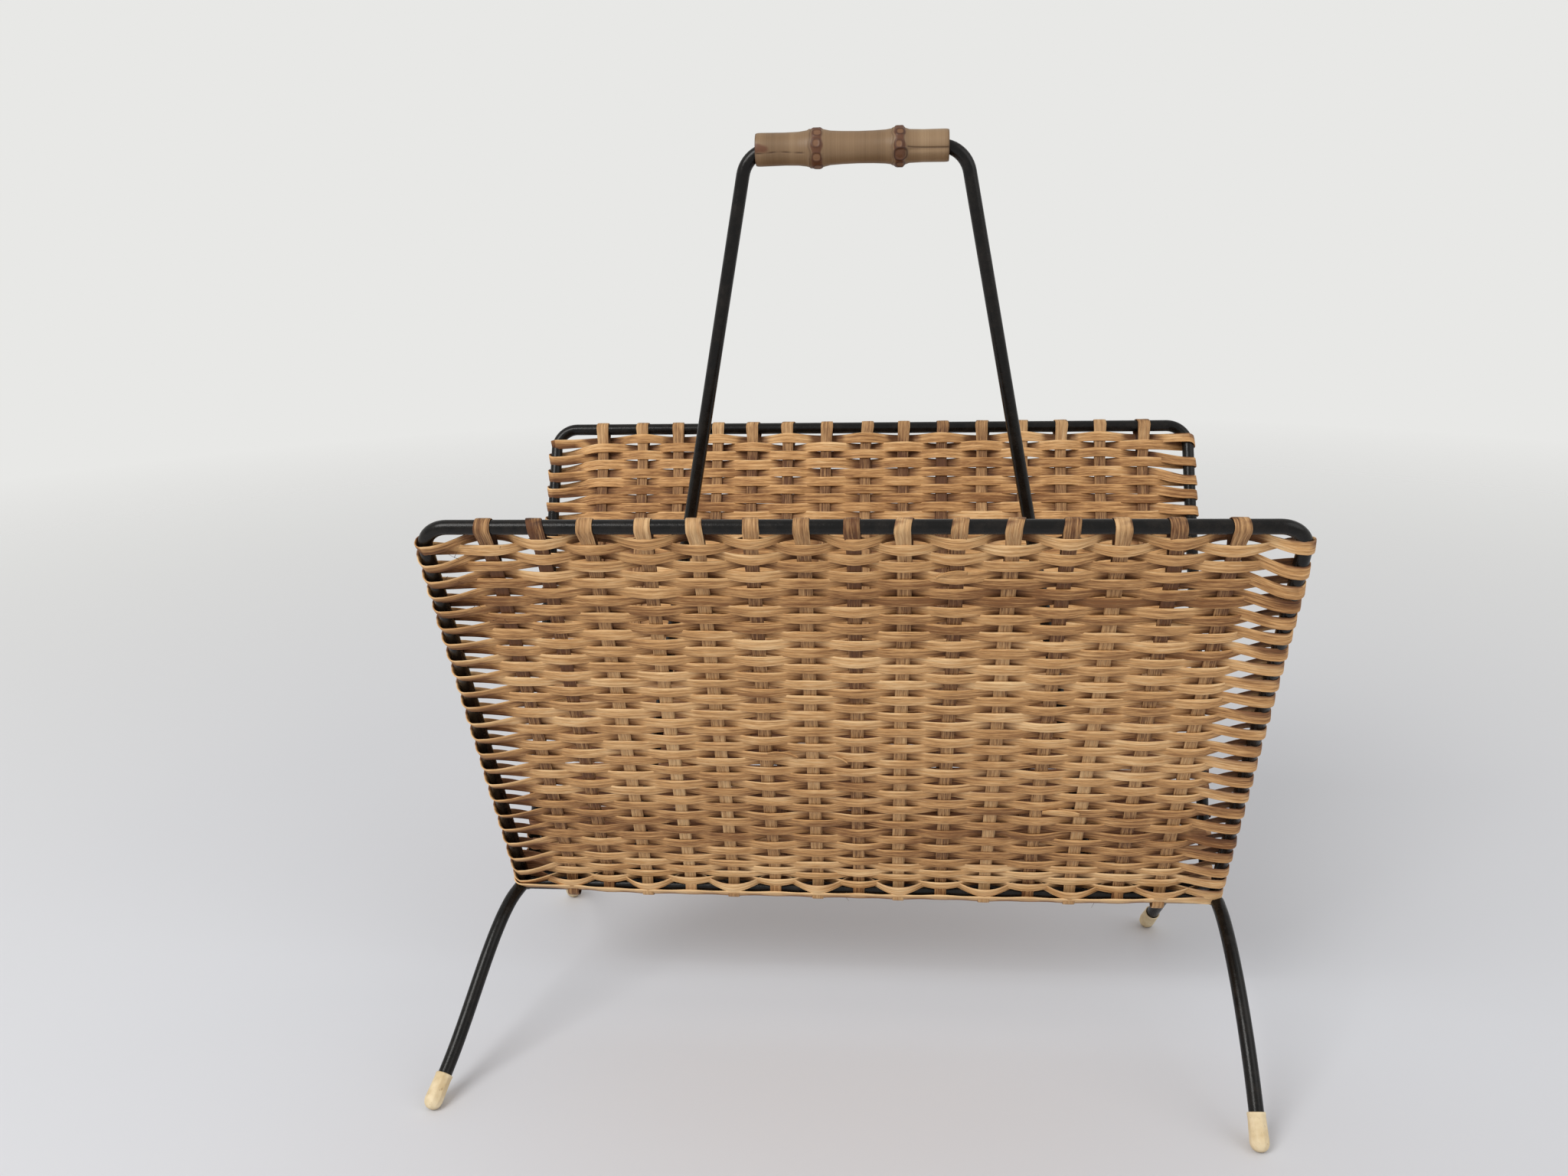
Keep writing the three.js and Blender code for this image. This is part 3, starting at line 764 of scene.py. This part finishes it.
def grip_scars(x, theta, wave, radius):
    """Raise the nodes' root scars on the cane; how far each place is on a scar's rim, in its heart, on a node."""
    rim, heart, band = np.zeros_like(x), np.zeros_like(x), np.zeros_like(x)
    scars = [BIG_SCAR]
    for place, (first, count, size) in NODES.items():
        wobble = 0.35 * np.sin(wave * 5 + place) + 0.25 * np.sin(wave * 9 + 1)
        band = np.maximum(band, np.clip((SCAR_BAND + wobble - np.abs(x - place)) / 0.5, 0, 1))
        # A thin wavy ridge beside the band, where the sheath was
        ridge = np.exp(-(((x - place + SCAR_BAND + 0.7 + wobble) / 0.35) ** 2))
        radius += 0.3 * ridge
        rim = np.maximum(rim, 0.45 * ridge)
        for k in range(count):
            scars.append((place + rng.uniform(-0.4, 0.4), first + 360 / count * k + rng.uniform(-4, 4),
                          size * rng.uniform(0.85, 1.1)))
    for i, (place, angle, size) in enumerate(scars):
        if i and abs(arc(angle, BIG_SCAR[1])) < 24 and place > 0:
            continue
        away = ((np.abs(x - place) ** 2.6 + np.abs(radius * np.radians(arc(theta, angle))) ** 2.6)) ** (1 / 2.6)
        edge = np.exp(-(((away - size) / 0.42) ** 2))
        rim = np.maximum(rim, edge * (1 if i == 0 else rng.uniform(0.45, 0.9)))
        inside = np.clip((size - 0.3 - away) / 0.4, 0, 1)
        heart = np.maximum(heart * (away > size), inside * (0.15 if i == 0 else rng.uniform(0.35, 1)))
        radius += 0.22 * edge - (0.5 if i == 0 else 0.12) * inside
    return rim, heart, band


def bamboo_grip():
    """The cane roller: swollen nodes with root scars, open ends, and the rod's bore through it."""
    low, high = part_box("bamboo_grip")
    centre = np.array(mean(low, high)) / MM
    along = np.r_[-GRIP_HALF, -48.8:48.9:0.4, GRIP_HALF]
    degrees = np.arange(0, 360, 2.25)
    x, theta = np.meshgrid(along, degrees, indexing="ij")
    radius = table(GRIP_WIDTHS, along) / 2
    kernel = np.hanning(5) / np.hanning(5).sum()
    radius = np.convolve(np.pad(radius, 2, "edge"), kernel, "valid")[:, None] * np.ones(len(degrees))
    wave = np.radians(degrees)
    radius = radius + 0.12 * np.cos(wave * 2 + 0.7) + 0.07 * np.cos(wave * 3 + x * 0.05)
    rim, heart, band = grip_scars(x, theta, wave, radius)
    crack = grip_cracks(x, theta)
    radius -= 0.35 * crack + 0.5 * np.exp(-((arc(theta, 104) / 8) ** 2)) * np.clip((x - 27.3) / 2, 0, 1)
    spot = np.hypot((x + 48) / 6.8, arc(theta, 86 + 0.8 * (x + 48)) / 19) + 0.05 * np.sin(x * 1.3 + wave * 3)
    stain = np.clip((1 - spot) / 0.35, 0, 1) * 0.85

    # The open ends and the bore, as rings that lead back to the first one
    hollow = GRIP_HALF - GRIP_DEPTH
    mouth = [(GRIP_HALF, 7.0), (GRIP_HALF, GRIP_HOLLOW), (hollow, GRIP_HOLLOW), (hollow, GRIP_BORE)]
    inner = mouth + [(-place, size) for place, size in mouth[::-1]]
    rings = [*zip(along, radius), *inner]
    sides = len(degrees)
    points = np.concatenate([columns(place, size * -np.sin(wave), size * np.cos(wave)) for place, size in rings])
    faces = ring_faces(len(rings), sides, OUTWARDS, closed=True)
    inside = len(inner) * sides
    scar = np.concatenate((columns(rim, heart, band).reshape(-1, 3), np.tile((0.25, 0.0, 0.9), (inside, 1))))
    thing = add_object("bamboo_roller", points + centre, faces, body="grip", scar=scar, cane=points * MM,
                       crack=np.append(crack, np.full(inside, 0.3)), stain=np.append(stain, np.zeros(inside)))
    dress(thing, "bamboo", "bamboo_grip")


def grip_cracks(x, theta):
    """Dark lines along the cane, left of the first node and right of the big scar, and dark rims."""
    left = np.exp(-((arc(theta, 104 - 2 * np.sin(x * 0.3)) / 2.2) ** 2)) * np.clip((-22 - x) / 3, 0, 1)
    left *= 0.55 + 0.35 * np.sin(x * 0.9)
    path = 97 - 5 * np.exp(-((x - 27.5) / 3.5)) + 0.1 * (x - 27)
    right = np.exp(-((arc(theta, path) / 2.6) ** 2)) * np.clip((x - 27.3) / 1.2, 0, 1) * 0.75
    rims = np.clip((np.abs(x) - 48.3) / 0.6, 0, 1) * 0.55
    return np.maximum(np.maximum(left, right), rims)


# Foot caps


CAP_RADIUS = 5.0
CAP_MOUTH = 14.3
CAP_FACETS = 9


def foot_cap(name, end, inward):
    """A moulded ferrule on a leg's end: soft lengthwise facets, a lip at its mouth, a round end."""
    up = unit(inward - end)
    centre = end - up * 1.5
    side = unit(np.cross(up, (0, 0, 1)))
    front = np.cross(up, side)
    sides = 72
    turn = circle(sides)
    start = rng.uniform(0, 1)
    within = (turn / (2 * math.pi) * CAP_FACETS + start) % 1 - 0.5
    facet = math.cos(math.pi / CAP_FACETS) / np.cos(within * 2 * math.pi / CAP_FACETS)
    bore, lip, neck, below_lip = BOW_ROD / 2 + 0.1, CAP_RADIUS - 0.1, CAP_RADIUS - 0.28, CAP_MOUTH - 2.0
    profile = [(bore, 1.2), (bore, CAP_MOUTH - 0.4), (BOW_ROD / 2 + 0.35, CAP_MOUTH), (CAP_RADIUS - 0.45, CAP_MOUTH),
               (lip, CAP_MOUTH - 0.4), (lip, CAP_MOUTH - 1.4), (neck, below_lip)]
    profile += [(neck + 0.4 * t, below_lip - t * below_lip) for t in np.arange(1, 10) / 9]
    bend = np.arange(1, 12) / 12 * math.pi / 2
    profile += [(5.12 * math.cos(a) ** 0.85, -5.2 * math.sin(a)) for a in bend]
    rings = []
    for size, along in profile:
        outside = size > CAP_RADIUS - 0.5 or along < 0
        soft = 0.75 * np.clip(size / CAP_RADIUS, 0, 1) if outside else 0
        reach = (size * (1 - soft + soft * facet))[:, None]
        ring = round_section(1, sides) * reach
        rings.append(centre + up * along + side * ring[:, :1] + front * ring[:, 1:])
    points = np.concatenate(rings)
    points[:, 2] = np.maximum(points[:, 2], 0)
    faces = ring_faces(len(rings), sides, INWARDS) + end_faces(len(rings), sides, True)
    dress(add_object(name + "_ferrule", points, faces), "ivory_rubber", name)


def weld(name, place, sizes):
    """A lump of weld metal under the paint."""
    points = []
    rings, sides = 11, 18
    for i in range(rings):
        for k in range(sides):
            polar, turn = math.pi * (i + 0.02) / (rings - 1 + 0.04), 2 * math.pi * k / sides
            way = np.array((math.sin(polar) * math.cos(turn), math.sin(polar) * math.sin(turn), math.cos(polar)))
            lump = 1 + 0.1 * math.sin(5 * way[0] + 3 * way[2] + place[0]) * math.cos(4 * way[1] + place[1])
            points.append(place + way * sizes * lump)
    thing = add_object(name, points, ring_faces(rings, sides, INWARDS) + end_faces(rings, sides, True))
    dress(thing, "black_lacquer")


# Materials


class Nodes:
    """A short way to write a node tree."""

    def __init__(self, name):
        self.material = bpy.data.materials.new(name)
        self.material.use_nodes = True
        self.tree = self.material.node_tree
        self.shader = self.tree.nodes["Principled BSDF"]

    def put(self, value, socket):
        """Link another node's output to a socket, or set the socket's own value."""
        if isinstance(value, bpy.types.NodeSocket):
            self.tree.links.new(value, socket)
        else:
            socket.default_value = (*value, 1) if socket.type == "RGBA" else value

    def add(self, kind, **inputs):
        """A node; an input is named, or numbered after an underscore."""
        node = self.tree.nodes.new(kind)
        for name, value in inputs.items():
            self.put(value, node.inputs[int(name[1:]) if name[0] == "_" else name])
        return node

    def attribute(self, name):
        node = self.add("ShaderNodeAttribute")
        node.attribute_name = name
        return node.outputs

    def math(self, operation, *values, clamp=False):
        node = self.add("ShaderNodeMath")
        node.operation = operation
        node.use_clamp = clamp
        for socket, value in zip(node.inputs, values):
            self.put(value, socket)
        return node.outputs[0]

    def times(self, a, b):
        return self.math("MULTIPLY", a, b)

    def line(self, value, slope, start):
        """The value times a slope, and a start."""
        return self.math("MULTIPLY_ADD", value, slope, start)

    def vary(self, base, noise, share):
        """The base, and a share of how far a noise is from its middle."""
        return self.math("ADD", base, self.times(self.math("SUBTRACT", noise, 0.5), share))

    def noise(self, vector, scale, detail, roughness=0.55):
        node = self.add("ShaderNodeTexNoise", Vector=vector, Scale=scale, Detail=detail, Roughness=roughness)
        return node.outputs["Fac"]

    def stretched_noise(self, vector, scale, detail):
        return self.noise(self.add("ShaderNodeMapping", Vector=vector, Scale=scale).outputs[0], 1.0, detail)

    def vector(self, x, y, z):
        return self.add("ShaderNodeCombineXYZ", _0=x, _1=y, _2=z).outputs[0]

    def split(self, vector):
        return self.add("ShaderNodeSeparateXYZ", Vector=vector).outputs

    def ramp(self, value, *stops):
        node = self.add("ShaderNodeValToRGB", Fac=value)
        elements = node.color_ramp.elements
        while len(elements) < len(stops):
            elements.new(0.5)
        for element, (at, colour) in zip(elements, stops):
            element.position = at
            element.color = (*colour, 1)
        return node.outputs["Color"]

    def mix(self, share, a, b, blend="MIX"):
        node = self.add("ShaderNodeMix")
        node.data_type = "RGBA"
        node.blend_type = blend
        for value, number in ((share, 0), (a, 6), (b, 7)):
            self.put(value, node.inputs[number])
        return node.outputs[2]

    def bump(self, height, distance, strength=1.0):
        return self.add("ShaderNodeBump", Height=height, Distance=distance, Strength=strength).outputs[0]

    def finish(self, colour, roughness, normal=None, gloss=0.5):
        self.put(colour, self.shader.inputs["Base Color"])
        self.put(roughness, self.shader.inputs["Roughness"])
        self.put(gloss, self.shader.inputs["Specular IOR Level"])
        if normal is not None:
            self.put(normal, self.shader.inputs["Normal"])
        return self.material


def srgb(red, green, blue):
    """A colour as read from a picture, 0 to 255, as linear light."""
    shares = (value / 255 for value in (red, green, blue))
    return tuple(s / 12.92 if s <= 0.04045 else ((s + 0.055) / 1.055) ** 2.4 for s in shares)


# What the reed's colour is multiplied by where it gets painted shade, and on the darkened hairs
DEEP_TINT = (0.12, 0.02, 0.005)


def reed_material(name, shades, ribs, contrast, edge):
    """Split reed from dark to light: fibres along it, a few ribs, and slow changes of tone on the way; painted shade
    in its grooves and where it is out of the light, and a painted highlight on its upper edge.
    """
    n = Nodes(name)
    along, across, number = n.split(n.attribute("reed")["Vector"])
    seed = n.times(number, 17.3)

    def streaks(lengthwise, crosswise, detail):
        place = n.vector(n.times(along, lengthwise), n.times(across, crosswise), seed)
        return n.noise(place, 1.0, detail)

    fibres = streaks(0.05, ribs * 0.8, 5)
    fine = streaks(0.2, ribs * 2.6, 3)
    slow = n.noise(n.vector(n.times(along, 0.011), 0.0, seed), 1.0, 3)
    tint = n.attribute("tone")["Fac"]
    # Painted highlight: the reed's upper edge is paler, as where light from above falls on it
    upper = n.times(n.math("POWER", n.math("MAXIMUM", across, 0.0), 4.0), edge)
    patch = streaks(0.07, 0.6, 2)
    tone = n.line(fibres, 0.55, n.times(fine, 0.45))
    tone = n.line(n.math("SUBTRACT", tone, 0.5), contrast, 0.5)
    tone = n.vary(n.vary(tone, slow, 0.95), patch, 0.4)
    tone = n.math("ADD", tone, n.math("ADD", tint, upper))
    colour = n.ramp(tone, *zip((0.12, 0.5, 0.88), shades))
    ridge = n.math("SINE", n.line(across, ribs * math.pi / 2, n.times(fibres, 5.0)))
    height = n.line(ridge, 0.35, n.times(fine, 1.0))
    # Painted shade in the grooves between the ribs
    groove_shade = n.line(n.math("MINIMUM", ridge, 0.0), 0.16, 1.0)
    colour = n.mix(1.0, colour, n.vector(groove_shade, groove_shade, groove_shade), "MULTIPLY")
    # Painted shade: darker and redder where the reed is out of the light; the hairs are darkened by the same mark
    colour = n.mix(n.attribute("hidden")["Fac"], colour, n.mix(1.0, colour, DEEP_TINT, "MULTIPLY"))
    roughness = n.line(fine, 0.25, 0.48)
    return n.finish(colour, roughness, n.bump(height, 0.00022), 0.35)


def paint_material():
    """Black semi-gloss paint with small dents, fine orange peel and dust."""
    n = Nodes("black_lacquer_paint")
    place = n.add("ShaderNodeTexCoord").outputs["Object"]
    peel = n.noise(place, 1300, 2)
    dents = n.noise(place, 420, 3)
    dust = n.noise(place, 140, 5, 0.7)
    colour = n.ramp(dust, (0.45, srgb(13, 12, 11)), (0.8, srgb(34, 29, 25)))
    roughness = n.line(dust, 0.4, 0.06)
    height = n.line(dents, 0.6, n.times(peel, 0.4))
    return n.finish(colour, roughness, n.bump(height, 0.00022, 0.6), 0.26)


def bamboo_material():
    """Greyed cane with fine rings and patches, brown node bands, root scars, cracks and a stain."""
    n = Nodes("bamboo_cane")
    rim, heart, band = n.split(n.attribute("scar")["Vector"])
    crack, stain = n.attribute("crack")["Fac"], n.attribute("stain")["Fac"]
    cane = n.attribute("cane")["Vector"]
    rings = n.stretched_noise(cane, (1500, 0.9, 0.9), 4)
    grain = n.stretched_noise(cane, (24, 3.5, 3.5), 5)
    patches = n.stretched_noise(cane, (40, 0.7, 0.7), 3)
    specks = n.stretched_noise(cane, (400, 3, 3), 2)
    tone = n.line(n.math("SUBTRACT", patches, 0.5), 1.3, 0.5)
    tone = n.vary(n.vary(tone, rings, 0.4), grain, 0.5)
    colour = n.ramp(tone, (0.15, srgb(94, 71, 48)), (0.5, srgb(130, 104, 76)), (0.85, srgb(160, 134, 103)))
    fleck = n.times(n.math("GREATER_THAN", specks, 0.72), 0.25)
    colour = n.mix(fleck, colour, srgb(112, 80, 56))
    colour = n.mix(band, colour, n.ramp(grain, (0.3, srgb(78, 46, 28)), (0.7, srgb(114, 72, 46))))
    colour = n.mix(heart, colour, n.ramp(grain, (0.3, srgb(112, 76, 50)), (0.7, srgb(146, 111, 81))))
    colour = n.mix(rim, colour, srgb(62, 35, 21))
    colour = n.mix(stain, colour, srgb(98, 57, 36))
    colour = n.mix(crack, colour, srgb(66, 42, 28))
    roughness = n.line(rings, 0.25, 0.34)
    height = n.line(rings, 0.6, n.times(grain, 0.5))
    return n.finish(colour, roughness, n.bump(height, 0.00012, 0.7), 0.4)


def cap_material():
    """Ivory rubber, yellowed, with dirt in spots, and painted shade near the floor."""
    n = Nodes("ivory_cap")
    place = n.add("ShaderNodeTexCoord").outputs["Object"]
    patches = n.noise(place, 130, 3)
    spots = n.noise(place, 420, 3, 0.6)
    colour = n.ramp(patches, (0.3, srgb(208, 184, 140)), (0.7, srgb(236, 218, 182)))
    dirt = n.ramp(spots, (0.62, (0, 0, 0)), (0.74, (0.55, 0.55, 0.55)))
    colour = n.mix(dirt, colour, srgb(150, 122, 84))
    # Painted shade: darker within a few millimetres of the floor, where the cap meets it
    low = n.split(place)["Z"]
    floor_shade = n.times(n.math("SUBTRACT", 1.0, n.math("DIVIDE", low, 0.0035, clamp=True)), 0.45)
    colour = n.mix(floor_shade, colour, srgb(120, 98, 72))
    return n.finish(colour, n.line(spots, 0.3, 0.42), n.bump(spots, 0.0002, 0.6))


PALE_REED = srgb(135, 89, 48), srgb(213, 162, 105), srgb(252, 212, 158)
BROWN_REED = srgb(98, 60, 32), srgb(184, 140, 93), srgb(222, 183, 134)
# edge is the strength of the painted highlight on each reed's upper edge
materials = {
    "reed_weave": reed_material("pale_reed", PALE_REED, ribs=5, contrast=1.95, edge=0.24),
    "reed_stake": reed_material("stake_reed", BROWN_REED, ribs=6, contrast=2.0, edge=0.0),
    "black_lacquer": paint_material(),
    "bamboo": bamboo_material(),
    "ivory_rubber": cap_material(),
}


# Stage: floor, light and camera


def add_camera():
    """The photograph's view: a pinhole camera fitted to the rods."""
    photo_width, focal = 2048, 1737
    place = Vector((20.67, -712.2, 480.4)) * MM
    place.x += panels[0].bottom[0] * MM
    yaw, pitch, roll = 0.0895, 0.2884, -0.0225
    forward = Vector((-math.sin(yaw) * math.cos(pitch), math.cos(yaw) * math.cos(pitch), -math.sin(pitch)))
    right = Vector((math.cos(yaw), math.sin(yaw), 0))
    up = right.cross(forward)
    tilted_right = right * math.cos(roll) + up * math.sin(roll)
    tilted_up = up * math.cos(roll) - right * math.sin(roll)
    data = bpy.data.cameras.new("photo_camera")
    data.sensor_fit = "HORIZONTAL"
    data.sensor_width = 36
    data.lens = data.sensor_width * focal / photo_width
    data.clip_start = 0.01
    camera = link("photo_camera", data)
    axes = Matrix((tilted_right, tilted_up, -forward)).transposed().to_4x4()
    camera.matrix_world = Matrix.Translation(place) @ axes
    bpy.context.scene.camera = camera


def add_light(name, place, size, power, colour=(1, 1, 1)):
    """A round soft light on the basket."""
    data = bpy.data.lights.new(name, "AREA")
    data.shape = "DISK"
    data.size = size
    data.energy = power
    data.color = colour
    lamp = link(name, data)
    lamp.location = place
    lamp.rotation_euler = (Vector((0, 0, 0.2)) - Vector(place)).to_track_quat("-Z", "Y").to_euler()


def add_floor():
    """A round pale floor that fades into the background."""
    rings, sides, radius = 24, 96, 6.0
    points = [(0.0, 0.0, 0.0)]
    for i in range(1, rings + 1):
        reach = radius * (i / rings) ** 2
        for k in range(sides):
            angle = 2 * math.pi * k / sides
            points.append((reach * math.cos(angle), reach * math.sin(angle), 0.0))
    faces = [(0, 1 + k, 1 + (k + 1) % sides) for k in range(sides)]
    faces += ring_faces(rings, sides, INWARDS, start=1)
    mesh = bpy.data.meshes.new("floor")
    mesh.from_pydata(points, [], faces)
    floor = link("floor", mesh)
    n = Nodes("pale_floor")
    place = n.add("ShaderNodeTexCoord").outputs["Object"]
    reach = n.add("ShaderNodeVectorMath", Vector=place)
    reach.operation = "LENGTH"
    share = n.math("DIVIDE", reach.outputs["Value"], 2.4, clamp=True)
    colour = n.ramp(share, (0.1, srgb(214, 216, 222)), (1, srgb(235, 235, 234)))
    n.put(n.ramp(share, (0.25, (1, 1, 1)), (0.95, (0, 0, 0))), n.shader.inputs["Alpha"])
    mesh.materials.append(n.finish(colour, 0.7))


def add_studio():
    """Soft light, and a pale background for the camera."""
    world = bpy.data.worlds.new("studio")
    bpy.context.scene.world = world
    world.use_nodes = True
    tree = world.node_tree
    background = tree.nodes["Background"]
    background.inputs["Color"].default_value = (1.0, 0.99, 0.97, 1)
    background.inputs["Strength"].default_value = 0.62
    seen = tree.nodes.new("ShaderNodeBackground")
    seen.inputs["Color"].default_value = (*srgb(232, 232, 230), 1)
    path = tree.nodes.new("ShaderNodeLightPath")
    pick = tree.nodes.new("ShaderNodeMixShader")
    for i, socket in enumerate((path.outputs["Is Camera Ray"], background.outputs[0], seen.outputs[0])):
        tree.links.new(socket, pick.inputs[i])
    tree.links.new(pick.outputs[0], tree.nodes["World Output"].inputs["Surface"])
    add_light("window", (-1.1, -1.3, 1.7), 1.2, 26, (1, 0.985, 0.96))
    add_light("room", (1.4, -0.6, 1.3), 1.4, 5)
    bpy.context.scene.view_settings.view_transform = "Standard"


panels = [Panel("front", -1), Panel("back", 1)]
add_camera()
add_rods(panels)
bamboo_grip()
for panel in panels:
    weaver(panel)
    for number in range(1, STAKES + 1):
        stake(panel, number)
add_hairs(panels[0])
add_splices(panels[0])
add_floor()
add_studio()
